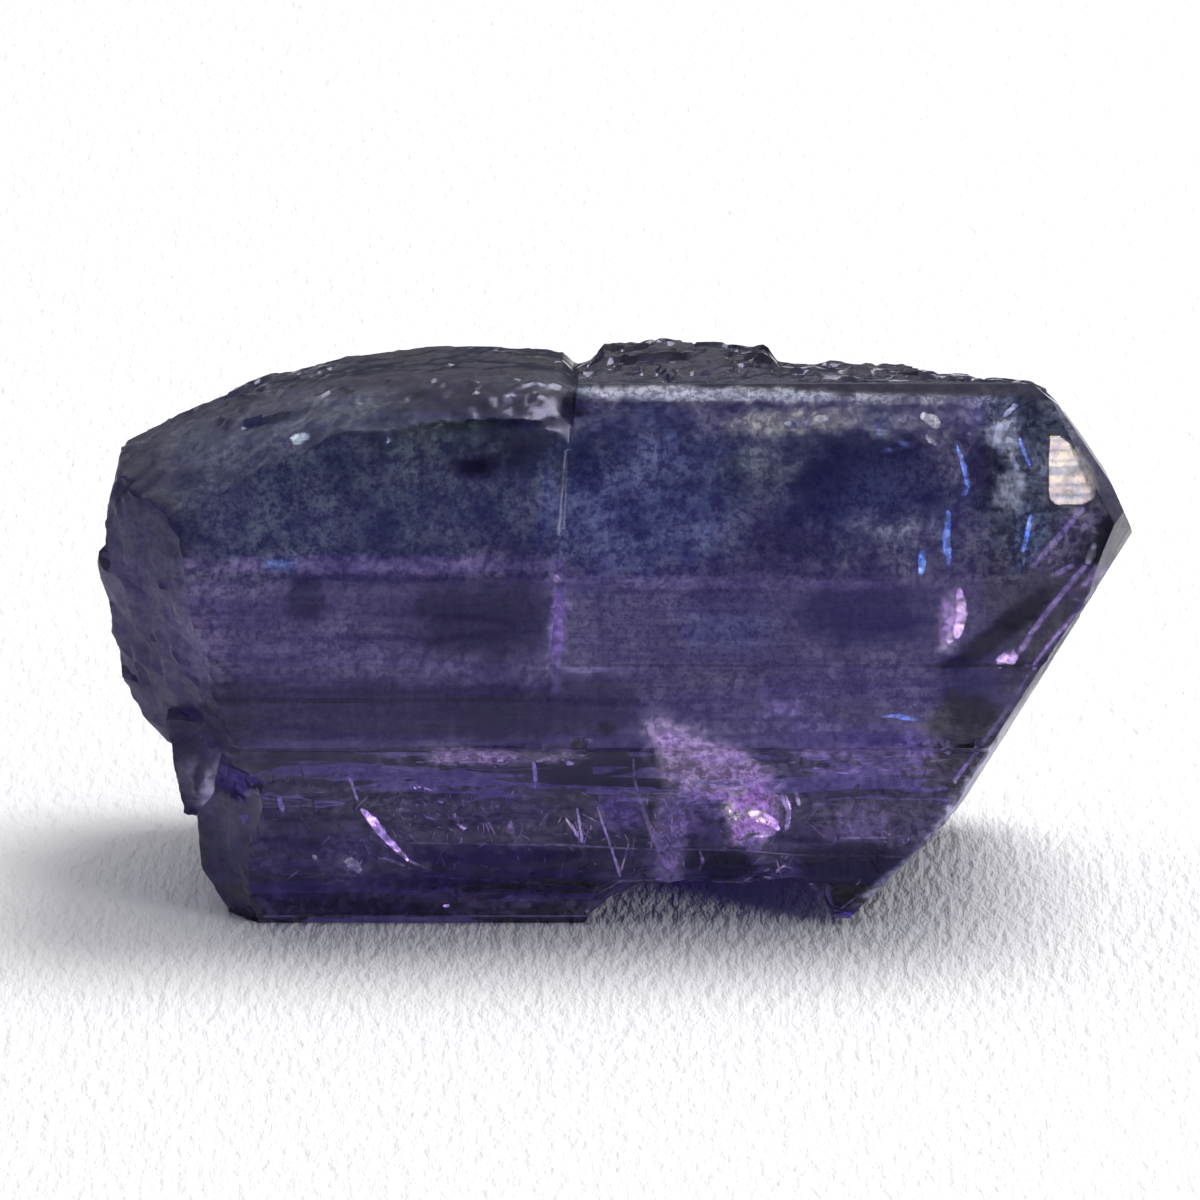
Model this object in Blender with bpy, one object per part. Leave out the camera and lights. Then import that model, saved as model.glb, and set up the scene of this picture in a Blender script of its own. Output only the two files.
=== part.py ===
"""Rough tanzanite: one flattened prism with a chisel tip, a broken top and a broken end.

The crystal lies on its side. X runs along it towards the tip, Y goes from the front faces to the
back ones and Z is up. Shapes are worked out in millimetres, and the mesh is turned into metres last.
"""

import bpy
import bmesh
from math import floor, hypot, pi, sin
from mathutils import Matrix, Vector, noise

MILLIMETRE = 0.001

# Driving dimensions in millimetres
PRISM_FROM = -11.5
PRISM_TO = 12.0
SLAB_TO_LOW = -1.50
SLAB_TO_HIGH = -0.90
LEDGE_HEIGHT = 4.10
RIDGE_Y = -2.35
RIDGE_Z = 10.75
CREST_Y = 0.3
BACK_TAPER = 0.35
CUTTER_REACH = 16.0

# Sizes of the small facets that stand for broken surfaces, in millimetres
TOP_CELL = 0.30
END_CELL = 0.34
NOTCH_CELL = 0.30
SCAR_CELL = 0.30

CRYSTAL_COLOUR = (0.055, 0.045, 0.14, 1.0)
CRYSTAL_IOR = 1.69

# Outer faces of the prism as (Y, Z) corners, with the number of growth ledges up to the next corner
PRISM_CORNERS = (
    ((-3.00, 0.00), 0),
    ((-3.42, 0.62), 3),
    ((-3.98, 3.80), 0),
    ((-4.16, 3.95), 2),
    ((-4.02, 7.62), 2),
    ((-2.62, 10.55), 0),
    ((RIDGE_Y, RIDGE_Z), 0),
    ((0.30, 11.20), 0),
    ((2.40, 10.60), 2),
    ((4.02, 8.10), 2),
    ((4.40, 5.50), 3),
    ((4.22, 3.50), 2),
    ((3.40, 1.10), 0),
    ((2.70, 0.00), 0),
)
LEDGE_STEP = 0.055

# The slab that has grown over the left half, as (Y, Z) corners
SLAB_CORNERS = (
    (-4.40, LEDGE_HEIGHT - 0.12),
    (-4.40, 4.95),
    (-4.33, 5.02),
    (-4.18, 7.66),
    (-3.44, 9.30),
    (-2.80, 10.52),
    (-2.30, 11.30),
    (0.60, 11.30),
    (0.60, LEDGE_HEIGHT + 0.25),
)

# Faces of the chisel tip: a point on each and the way it faces
TIP_FACES = (
    ("tip_under", (5.85, 0.0, 0.0), (1.0, -0.236, -0.590)),
    ("tip_over", (14.86, 0.0, 0.0), (1.0, 0.160, 0.655)),
    ("tip_blunt", (10.02, 0.0, 6.98), (0.914, 0.097, 0.395)),
    ("tip_behind", (10.10, 1.60, 6.55), (0.620, 0.780, 0.100)),
    ("tip_foot", (5.40, 0.0, 0.0), (1.0, -0.330, -0.950)),
    ("tip_front", (9.707, -3.51, 8.69), (0.8865, -0.3986, -0.235)),
)

# Broken end: X of its furthest reach at each height, as (Z, X)
END_REACH = (
    (-1.0, -7.50),
    (0.1, -7.62),
    (0.84, -8.12),
    (1.45, -8.20),
    (3.25, -8.15),
    (3.45, -8.70),
    (4.00, -9.20),
    (4.74, -9.50),
    (5.98, -9.72),
    (7.00, -10.00),
    (8.03, -9.97),
    (9.57, -9.66),
    (12.0, -9.00),
)
END_EDGE_Y = -2.4

# Broken top: height along the crest and along the front ridge, as (X, Z)
CREST_HEIGHT = (
    (-12.0, 7.00),
    (-9.67, 8.70),
    (-8.59, 9.30),
    (-6.83, 10.08),
    (-5.37, 10.45),
    (-3.70, 10.66),
    (-2.90, 10.71),
    (-1.10, 10.62),
    (-0.85, 10.36),
    (-0.60, 10.45),
    (-0.30, 10.70),
    (0.60, 10.78),
    (1.60, 10.75),
    (2.85, 10.68),
    (3.10, 10.36),
    (6.80, 10.14),
    (6.92, 10.03),
    (8.00, 9.90),
    (8.30, 9.80),
    (8.52, 9.33),
    (8.95, 9.17),
    (9.30, 8.90),
    (12.0, 8.50),
)
RIDGE_HEIGHT = (
    (-12.0, 8.00),
    (-9.67, 9.25),
    (-8.59, 9.72),
    (-6.83, 10.35),
    (-5.37, 10.68),
    (-2.90, 10.86),
    (-1.00, 10.88),
    (-0.80, 10.77),
    (7.95, 10.77),
    (8.50, 10.35),
    (12.0, 9.60),
)
TOP_BACK_SLOPE = 0.42

# Gap under the right half: height of its roof along the front, as (X, Z)
NOTCH_ROOF = (
    (-1.60, -1.00),
    (-0.72, -0.10),
    (-0.60, 0.25),
    (-0.19, 0.62),
    (0.40, 0.95),
    (3.53, 0.99),
    (4.02, 0.45),
    (4.20, 0.16),
    (5.20, 0.14),
)
NOTCH_DEPTH_FROM = -0.4
NOTCH_DEPTH_TO = 1.7

# Splinter that hangs under the slab at the broken end, as (X, Z) corners and its Y range
SPLINTER_CORNERS = (
    (-8.75, 4.40),
    (-8.60, 3.30),
    (-8.44, 2.55),
    (-8.20, 2.42),
    (-7.90, 2.90),
    (-7.60, 4.40),
)
SPLINTER_Y = (-3.85, -2.6)

# Shell-shaped scar that runs down the back from a blow on the top edge
SCAR_BLOW = (-3.2, 10.6)
SCAR_FLOOR_Y = 2.55
SCAR_RISE = 0.125
SCAR_WIDTH = 1.35
SCAR_RIB = 0.045
SCAR_RIB_PITCH = 0.62


def along(points, value):
    """Read a height from a list of (place, height) pairs, straight between the pairs."""
    for (start, low), (end, high) in zip(points, points[1:]):
        if value <= end:
            share = max(0.0, (value - start) / (end - start))
            return low + share * (high - low)
    return points[-1][1]


def ease(value, start, end):
    """Rise smoothly from 0 at start to 1 at end."""
    share = min(1.0, max(0.0, (value - start) / (end - start)))
    return share * share * (3.0 - 2.0 * share)


def plates(u, v, size_u, size_v, seed):
    """Broken cleavage plates: each has its own level and its own lean, from -1 to 1."""
    spot = Vector((u / size_u, v / size_v, seed))
    middle = noise.voronoi(spot)[1][0]
    away = spot - middle
    traits = noise.cell_vector(middle * 97.0)
    level = 2.0 * traits.x - 1.0
    return 0.62 * level + 0.5 * (traits.y - 0.5) * away.x + 0.8 * (traits.z - 0.5) * away.y


def grain(u, v, size, seed):
    """Small uneven relief, from about -1 to 1."""
    return noise.noise(Vector((u / size, v / size, seed)))


def object_from(name, points, faces):
    """Make a closed object whose faces point out."""
    mesh = bpy.data.meshes.new(name)
    mesh.from_pydata(points, [], faces)
    shape = bmesh.new()
    shape.from_mesh(mesh)
    bmesh.ops.recalc_face_normals(shape, faces=shape.faces)
    shape.to_mesh(mesh)
    shape.free()
    thing = bpy.data.objects.new(name, mesh)
    bpy.context.collection.objects.link(thing)
    return thing


def extruded(name, outline, place, near, far):
    """Close an outline between two ends: place turns an outline point and an end into a point."""
    count = len(outline)
    points = [place(point, near) for point in outline]
    points += [place(point, far) for point in outline]
    faces = [tuple(range(count)), tuple(range(2 * count - 1, count - 1, -1))]
    for index in range(count):
        after = (index + 1) % count
        faces.append((index, after, count + after, count + index))
    return object_from(name, points, faces)


def relief_block(name, u_span, v_span, cell, level, far, place):
    """A block with one broken side: level(u, v) gives that side, and far is the flat side behind."""
    u_count = floor((u_span[1] - u_span[0]) / cell)
    v_count = floor((v_span[1] - v_span[0]) / cell)
    u_step = (u_span[1] - u_span[0]) / u_count
    v_step = (v_span[1] - v_span[0]) / v_count
    points = []
    for row in range(v_count + 1):
        for column in range(u_count + 1):
            u = u_span[0] + column * u_step
            v = v_span[0] + row * v_step
            points.append(place(u, v, level(u, v)))
    faces = []
    width = u_count + 1
    for row in range(v_count):
        for column in range(u_count):
            corner = row * width + column
            faces.append((corner, corner + 1, corner + width + 1))
            faces.append((corner, corner + width + 1, corner + width))
    rim = [column for column in range(width)]
    rim += [row * width + u_count for row in range(1, v_count + 1)]
    rim += [v_count * width + column for column in range(u_count - 1, -1, -1)]
    rim += [row * width for row in range(v_count - 1, 0, -1)]
    first = len(points)
    for index in rim:
        row, column = divmod(index, width)
        points.append(place(u_span[0] + column * u_step, v_span[0] + row * v_step, far))
    for index, corner in enumerate(rim):
        after = (index + 1) % len(rim)
        faces.append((corner, rim[after], first + after, first + index))
    faces.append(tuple(range(first, first + len(rim))))
    return object_from(name, points, faces)


def combine(body, tool, operation):
    """Join a tool to the body or cut it away, and drop the tool."""
    modifier = body.modifiers.new(tool.name, 'BOOLEAN')
    modifier.operation = operation
    modifier.solver = 'EXACT'
    modifier.object = tool
    seen = body.evaluated_get(bpy.context.evaluated_depsgraph_get())
    result = bpy.data.meshes.new_from_object(seen)
    body.modifiers.clear()
    body.data = result
    bpy.data.objects.remove(tool)


def ledged_outline(corners, step):
    """Corners of the prism, with small growth ledges between them."""
    outline = []
    for index, (corner, ledges) in enumerate(corners):
        start = Vector(corner)
        end = Vector(corners[(index + 1) % len(corners)][0])
        run = end - start
        outward = Vector((-run.y, run.x)).normalized()
        outline.append(start)
        for ledge in range(ledges):
            share = (ledge + 0.75 + 0.2 * (ledge % 2)) / (ledges + 0.6)
            rise = step * (0.8 + 0.4 * ((index + ledge) % 3))
            sign = 1.0 if ledge % 2 else -1.0
            outline.append(start + run * share)
            outline.append(start + run * share + run.normalized() * 0.05 + outward * rise * sign)
    return [(point.x, point.y) for point in outline]


def prism():
    """The striated prism, longer than the crystal at both ends."""
    def place(point, x):
        y, z = point
        narrower = BACK_TAPER if x == PRISM_TO and y > 0.0 else 0.0
        return (x, y - narrower, z)
    return extruded("prism", ledged_outline(PRISM_CORNERS, LEDGE_STEP), place, PRISM_FROM, PRISM_TO)


def slab():
    """The slab over the left half, whose free end leans with height."""
    def place(point, end):
        y, z = point
        if end == PRISM_FROM:
            return (end, y, z)
        share = (z - LEDGE_HEIGHT) / (RIDGE_Z - LEDGE_HEIGHT)
        return (SLAB_TO_LOW + share * (SLAB_TO_HIGH - SLAB_TO_LOW), y, z)
    return extruded("slab", SLAB_CORNERS, place, PRISM_FROM, SLAB_TO_HIGH)


def splinter():
    """The loose-looking splinter under the slab at the broken end."""
    return extruded("splinter", SPLINTER_CORNERS, lambda point, y: (point[0], y, point[1]), *SPLINTER_Y)


def half_space(name, point, facing):
    """A box that fills everything beyond a plane."""
    normal = Vector(facing).normalized()
    turn = normal.to_track_quat('Z', 'Y').to_matrix().to_4x4()
    reach = CUTTER_REACH * 2.0
    corners = [(-reach, -reach), (reach, -reach), (reach, reach), (-reach, reach)]
    box = extruded(name, corners, lambda corner, z: (corner[0], corner[1], z), 0.0, reach)
    box.data.transform(Matrix.Translation(point) @ turn)
    return box


def top_level(x, y):
    """Height of the broken top."""
    ridge = along(RIDGE_HEIGHT, x)
    crest = along(CREST_HEIGHT, x)
    share = (y - RIDGE_Y) / (CREST_Y - RIDGE_Y)
    if y < RIDGE_Y:
        level = ridge + 0.12 * (RIDGE_Y - y)
    elif y < CREST_Y:
        level = ridge + share * (crest - ridge)
    else:
        level = crest - TOP_BACK_SLOPE * (y - CREST_Y)
    lump = ease(x, -0.9, -0.5) * (1.0 - ease(x, 2.9, 3.3))
    ledge = ease(x, 2.9, 3.3)
    roughness = 0.045 + 0.11 * lump + 0.06 * ledge + 0.05 * ease(-x, 4.5, 8.0)
    behind = ease(y, RIDGE_Y - 0.15, RIDGE_Y + 0.5)
    relief = plates(x, y, 1.5, 0.62, 3.0) + 0.35 * grain(x, y, 0.55, 9.0)
    return level + roughness * behind * relief


def end_level(y, z):
    """X of the broken end."""
    reach = along(END_REACH, z)
    slope = 0.32 + 0.58 * ease(z, 3.2, 3.9)
    if y < END_EDGE_Y:
        reach += slope * (END_EDGE_Y - y)
    else:
        reach += 0.07 * (y - END_EDGE_Y) + 0.10 * max(0.0, y - 2.0) ** 2
    relief = plates(y, z, 0.75, 2.1, 17.0) + 0.4 * grain(y, z, 0.6, 23.0)
    return reach + 0.15 * relief - 0.03


def notch_level(x, y):
    """Height of the roof of the gap under the right half."""
    deep = ease(y, NOTCH_DEPTH_FROM, NOTCH_DEPTH_TO)
    roof = along(NOTCH_ROOF, x) * (1.0 - deep) - 0.6 * deep
    return roof + 0.07 * (1.0 - deep) * plates(x, y, 0.9, 0.7, 31.0)


def scar_level(x, z):
    """Y of the shell-shaped scar: a bowl with ribs around the point of the blow."""
    across = (x - SCAR_BLOW[0]) / SCAR_WIDTH
    down = SCAR_BLOW[1] - z
    reach = hypot(across, down) + 0.25 * grain(x, z, 1.6, 51.0)
    rib = sin(2.0 * pi * reach / SCAR_RIB_PITCH)
    return SCAR_FLOOR_Y + SCAR_RISE * reach ** 2 + SCAR_RIB * rib * ease(reach, 0.4, 1.6)


def top_cutter():
    return relief_block("top", (-11.9, 12.1), (-5.2, 5.2), TOP_CELL, top_level, CUTTER_REACH,
                        lambda x, y, z: (x, y, z))


def end_cutter():
    return relief_block("end", (-5.3, 5.3), (-0.9, 12.3), END_CELL, end_level, -CUTTER_REACH,
                        lambda y, z, x: (x, y, z))


def notch_cutter():
    return relief_block("notch", (-1.5, 5.1), (-5.0, 1.9), NOTCH_CELL, notch_level, -3.0,
                        lambda x, y, z: (x, y, z))


def scar_cutter():
    return relief_block("scar", (-9.5, 3.1), (5.4, 12.4), SCAR_CELL, scar_level, CUTTER_REACH,
                        lambda x, z, y: (x, y, z))


def crystal_material():
    """Clear violet-blue crystal."""
    material = bpy.data.materials.new("tanzanite")
    material.use_nodes = True
    shader = material.node_tree.nodes["Principled BSDF"]
    shader.inputs["Base Color"].default_value = CRYSTAL_COLOUR
    shader.inputs["Roughness"].default_value = 0.08
    shader.inputs["IOR"].default_value = CRYSTAL_IOR
    shader.inputs["Transmission Weight"].default_value = 1.0
    return material


def tidy_mesh(body):
    """Merge points that coincide, split faces into triangles and turn millimetres into metres."""
    shape = bmesh.new()
    shape.from_mesh(body.data)
    bmesh.ops.remove_doubles(shape, verts=shape.verts, dist=0.004)
    bmesh.ops.dissolve_degenerate(shape, edges=shape.edges, dist=0.002)
    bmesh.ops.triangulate(shape, faces=shape.faces)
    bmesh.ops.recalc_face_normals(shape, faces=shape.faces)
    shape.to_mesh(body.data)
    shape.free()
    body.data.transform(Matrix.Scale(MILLIMETRE, 4))
    body.data.update()


def tanzanite_crystal():
    """Grow the prism, join what has grown on it, and break off what is missing."""
    body = prism()
    combine(body, slab(), 'UNION')
    for name, point, facing in TIP_FACES:
        combine(body, half_space(name, point, facing), 'DIFFERENCE')
    combine(body, end_cutter(), 'DIFFERENCE')
    combine(body, splinter(), 'UNION')
    combine(body, top_cutter(), 'DIFFERENCE')
    combine(body, notch_cutter(), 'DIFFERENCE')
    combine(body, scar_cutter(), 'DIFFERENCE')
    tidy_mesh(body)
    body.name = "tanzanite_crystal"
    body.data.name = "tanzanite_crystal"
    body.data.materials.clear()
    body.data.materials.append(crystal_material())
    return body


def main():
    for thing in list(bpy.data.objects):
        bpy.data.objects.remove(thing)
    tanzanite_crystal()


main()
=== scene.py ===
"""Looks of the rough tanzanite: finely broken and striated surfaces, clear violet-blue crystal with
fractures inside it, on white paper in soft light. Shapes are worked out in millimetres."""

from math import ceil, cos, floor, hypot, pi, radians, sin, sqrt

import bpy
import bmesh
from mathutils import Matrix, Vector, noise
from mathutils.bvhtree import BVHTree


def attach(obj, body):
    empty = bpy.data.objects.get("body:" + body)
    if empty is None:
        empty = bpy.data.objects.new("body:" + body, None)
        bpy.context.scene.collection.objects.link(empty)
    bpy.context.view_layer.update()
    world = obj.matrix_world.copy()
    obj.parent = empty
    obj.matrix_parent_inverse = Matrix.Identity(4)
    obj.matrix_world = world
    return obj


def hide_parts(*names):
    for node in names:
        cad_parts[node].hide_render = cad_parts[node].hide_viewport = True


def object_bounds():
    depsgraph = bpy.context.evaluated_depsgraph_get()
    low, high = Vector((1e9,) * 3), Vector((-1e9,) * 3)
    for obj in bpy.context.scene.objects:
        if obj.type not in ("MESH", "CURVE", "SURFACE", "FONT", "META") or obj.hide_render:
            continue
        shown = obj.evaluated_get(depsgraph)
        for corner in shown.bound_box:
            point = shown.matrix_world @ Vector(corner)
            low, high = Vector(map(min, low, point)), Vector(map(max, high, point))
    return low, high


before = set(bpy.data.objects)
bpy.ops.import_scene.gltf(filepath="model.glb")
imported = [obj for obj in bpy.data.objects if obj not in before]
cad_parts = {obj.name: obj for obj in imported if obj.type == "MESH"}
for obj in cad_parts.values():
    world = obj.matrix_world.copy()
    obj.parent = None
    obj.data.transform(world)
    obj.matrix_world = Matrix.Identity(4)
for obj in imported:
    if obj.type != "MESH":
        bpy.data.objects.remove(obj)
cad_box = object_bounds()

MILLIMETRE = 0.001
CRYSTAL_NODE = "tanzanite_crystal"

# The photograph's frame: its size, and the crystal's scale and place in it
PICTURE_SIDE = 1200
MM_PER_PIXEL = 0.01955
MIDDLE_PIXEL_X = 619.5
BASE_PIXEL_Y = 920.0
FRONT_BASE_Y = -3.0
CAMERA_ELEVATION = radians(18.0)
CAMERA_DISTANCE = 300.0
SENSOR_WIDTH = 36.0

# Driving dimensions of the crystal in millimetres
PRISM_FROM = -11.5
PRISM_TO = 12.0
SLAB_TO_LOW = -1.50
SLAB_TO_HIGH = -0.90
LEDGE_HEIGHT = 4.10
RIDGE_Y = -2.35
RIDGE_Z = 10.75
CREST_Y = 0.3
BACK_TAPER = 0.35
CUTTER_REACH = 16.0

# Pitch of the fine meshes in millimetres
STATION_PITCH = 0.125
FRONT_PITCH = 0.068
BACK_PITCH = 0.19
TOP_CELL = 0.10
END_CELL = 0.11
NOTCH_CELL = 0.10
SCAR_CELL = 0.12
UNDER_CELL = 0.11

# Outer faces of the prism as (Y, Z) corners, with the number of growth ledges up to the next corner
PRISM_CORNERS = (
    ((-3.10, 0.00), 0),
    ((-3.33, 0.24), 0),
    ((-3.98, 3.80), 0),
    ((-4.16, 3.95), 1),
    ((-4.03, 7.40), 0),
    ((-3.90, 7.88), 0),
    ((-2.74, 10.36), 0),
    ((-2.60, 10.58), 0),
    ((RIDGE_Y, RIDGE_Z), 0),
    ((0.30, 11.20), 0),
    ((2.40, 10.60), 2),
    ((4.02, 8.10), 2),
    ((4.40, 5.50), 3),
    ((4.22, 3.50), 2),
    ((3.40, 1.10), 0),
    ((2.70, 0.00), 0),
)
LEDGE_STEP = 0.055

# The slab that has grown over the left half, as (Y, Z) corners
SLAB_CORNERS = (
    (-4.40, LEDGE_HEIGHT - 0.12),
    (-4.40, 4.95),
    (-4.33, 5.02),
    (-4.20, 7.40),
    (-4.06, 7.92),
    (-3.60, 9.02),
    (-3.14, 10.00),
    (-2.50, 11.30),
    (0.60, 11.30),
    (0.60, LEDGE_HEIGHT + 0.25),
)

# Faces of the chisel tip: a point on each and the way it faces
UNDER_POINT = (5.85, 0.0, 0.0)
UNDER_FACING = (1.0, -0.236, -0.590)
TIP_FACES = (
    ("tip_over", (14.86, 0.0, 0.0), (1.0, 0.160, 0.655)),
    ("tip_blunt", (10.02, 0.0, 6.98), (0.914, 0.097, 0.395)),
    ("tip_behind", (10.10, 1.60, 6.55), (0.620, 0.780, 0.100)),
    ("tip_foot", (5.40, 0.0, 0.0), (1.0, -0.330, -0.950)),
    ("tip_front", (9.707, -3.51, 8.69), (0.8865, -0.3986, -0.235)),
    ("tip_shoulder", (8.89, -2.94, 9.70), (0.83, -0.82, 0.84)),
)

# Broken end: X of its furthest reach at each height, as (Z, X)
END_REACH = (
    (-1.0, -7.50),
    (0.1, -7.62),
    (0.84, -8.12),
    (1.45, -8.20),
    (3.25, -8.15),
    (3.45, -8.70),
    (4.00, -9.20),
    (4.74, -9.50),
    (5.98, -9.72),
    (7.00, -10.00),
    (8.03, -9.97),
    (9.57, -9.66),
    (12.0, -9.00),
)
END_EDGE_Y = -2.4
END_SLOPE = 0.9

# Broken top: height along the crest and along the front ridge, as (X, Z)
CREST_HEIGHT = (
    (-12.0, 7.00),
    (-9.67, 8.70),
    (-8.59, 9.30),
    (-6.83, 10.08),
    (-5.37, 10.45),
    (-3.70, 10.66),
    (-2.90, 10.71),
    (-1.10, 10.62),
    (-0.85, 10.36),
    (-0.60, 10.45),
    (-0.30, 10.70),
    (0.60, 10.78),
    (1.60, 10.75),
    (2.85, 10.68),
    (3.10, 10.36),
    (6.80, 10.14),
    (6.92, 10.03),
    (8.00, 9.90),
    (8.30, 9.80),
    (8.52, 9.33),
    (8.95, 9.17),
    (9.30, 8.90),
    (12.0, 8.50),
)
RIDGE_HEIGHT = (
    (-12.0, 8.00),
    (-9.67, 9.25),
    (-8.59, 9.72),
    (-6.83, 10.35),
    (-5.37, 10.68),
    (-2.90, 10.86),
    (-1.60, 10.86),
    (-1.20, 10.76),
    (-1.00, 10.62),
    (-0.88, 10.50),
    (-0.80, 10.77),
    (7.95, 10.77),
    (8.50, 10.35),
    (12.0, 9.60),
)
TOP_BACK_SLOPE = 0.42
RIDGE_ROUNDING = 0.24
ROUNDING_FROM = 1.3

# Where the slab's upper rim is worn round
RIM_TO = -1.0
RIM_BACK_Y = -2.5
RIM_FROM_Z = 8.2
RIM_GRAIN = 0.032

# Gap under the right half: height of its roof along the front, as (X, Z)
NOTCH_ROOF = (
    (-1.60, -1.00),
    (-0.72, -0.10),
    (-0.60, 0.25),
    (-0.19, 0.62),
    (0.40, 0.95),
    (3.53, 0.99),
    (4.02, 0.45),
    (4.20, 0.16),
    (5.20, 0.14),
)
NOTCH_DEPTH_FROM = -0.4
NOTCH_DEPTH_TO = 1.7

# Splinter that hangs under the slab at the broken end, as (X, Z) corners and its Y range
SPLINTER_CORNERS = (
    (-8.75, 4.40),
    (-8.60, 3.30),
    (-8.44, 2.55),
    (-8.20, 2.42),
    (-7.90, 2.90),
    (-7.60, 4.40),
)
SPLINTER_Y = (-3.85, -2.6)
SPLINTER_CUTS = 11
SPLINTER_GRAIN = 0.4
SPLINTER_RELIEF = 0.07

# Shell-shaped scar that runs down the back from a blow on the top edge
SCAR_BLOW = (-3.2, 10.6)
SCAR_FLOOR_Y = 2.55
SCAR_RISE = 0.125
SCAR_WIDTH = 1.35
SCAR_RIB = 0.045
SCAR_RIB_PITCH = 0.62

# Cracks inside the crystal: pitch along them and lines across them in pixels, then in millimetres how
# much they are crumpled and how far under the surface they stay
STROKE_PITCH = 2.2
STROKE_SIDES = (-1.0, -0.6, -0.2, 0.2, 0.6, 1.0)
STROKE_RIPPLE = 0.012
STROKE_LEAST = 0.04
STROKE_CLEAR = 0.07
STROKE_SINK = 0.6

# What a crack mirrors: the white ground in front of the crystal, light from above, or the small light
# in front
GROUND = (0.0, -0.95, -0.30)
ABOVE = (0.22, -0.08, 0.97)
SPARK = (0.80, -0.57, 0.18)

# How each kind of crack looks: colour, roughness, metallic, and how ragged and how solid it is
CRACK_LOOKS = {
    "lilac": ((0.92, 0.74, 1.00, 1.0), 0.30, 1.0, 1.3, 0.60),
    "blue": ((0.42, 0.58, 1.00, 1.0), 0.35, 1.0, 0.8, 0.50),
    "white": ((0.92, 0.92, 0.95, 1.0), 0.35, 1.0, 1.3, 0.55),
    "violet": ((0.66, 0.50, 0.92, 1.0), 0.40, 1.0, 0.8, 0.50),
    "dark": ((0.010, 0.008, 0.020, 1.0), 0.60, 0.0, 0.6, 0.50),
    "faint": ((0.62, 0.52, 0.72, 1.0), 0.40, 1.0, 1.3, 0.62),
    "sparks": ((0.94, 0.70, 1.00, 1.0), 0.26, 1.0, 1.0, 0.40),
    "glints": ((0.26, 0.42, 1.00, 1.0), 0.28, 1.0, 1.2, 0.45),
}

BRIGHT_CRACKS = ("sparks", "glints", "lilac", "blue", "white", "violet")

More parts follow.
